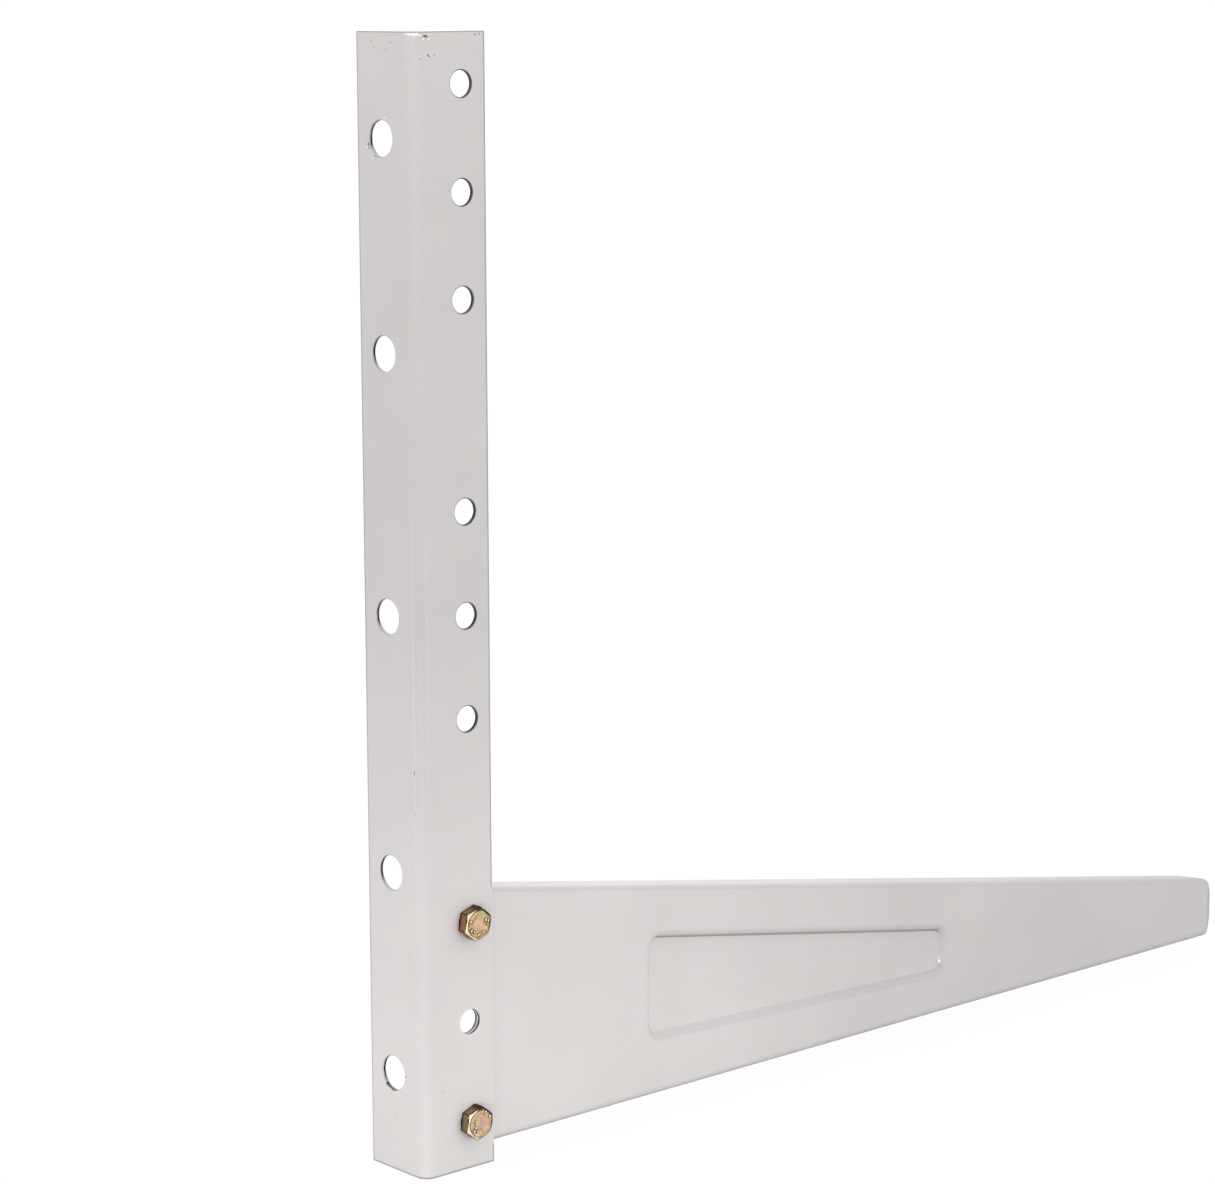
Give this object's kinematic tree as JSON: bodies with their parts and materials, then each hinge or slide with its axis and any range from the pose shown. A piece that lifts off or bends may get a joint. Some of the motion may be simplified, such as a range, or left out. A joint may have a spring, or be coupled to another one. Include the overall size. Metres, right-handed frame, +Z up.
{
  "type": "air conditioner outdoor unit bracket",
  "caption": "Steel wall bracket for one side of an outdoor air conditioner unit: an upright angle with anchor holes and a tapered, slotted channel arm bolted to its side.",
  "frame": {"origin": "on the wall plane, on the line of the anchor holes, level with the face of the load flange that the unit's foot stands on", "axes": "+X away from the wall along the arm, +Y along the wall toward the side that the flanges point to, +Z up"},
  "size_m": [0.6, 0.0505, 0.548],
  "materials": {
    "powder_coat": "light warm grey powder coat, satin, with a fine orange-peel texture",
    "yellow_zinc": "yellow-passivated zinc plate, half bright"
  },
  "bodies": {
    "root": {"upright": "powder_coat", "arm": "powder_coat", "upper_bolt": "yellow_zinc", "lower_bolt": "yellow_zinc", "upper_nut": "yellow_zinc", "lower_nut": "yellow_zinc"}
  },
  "joints": []
}
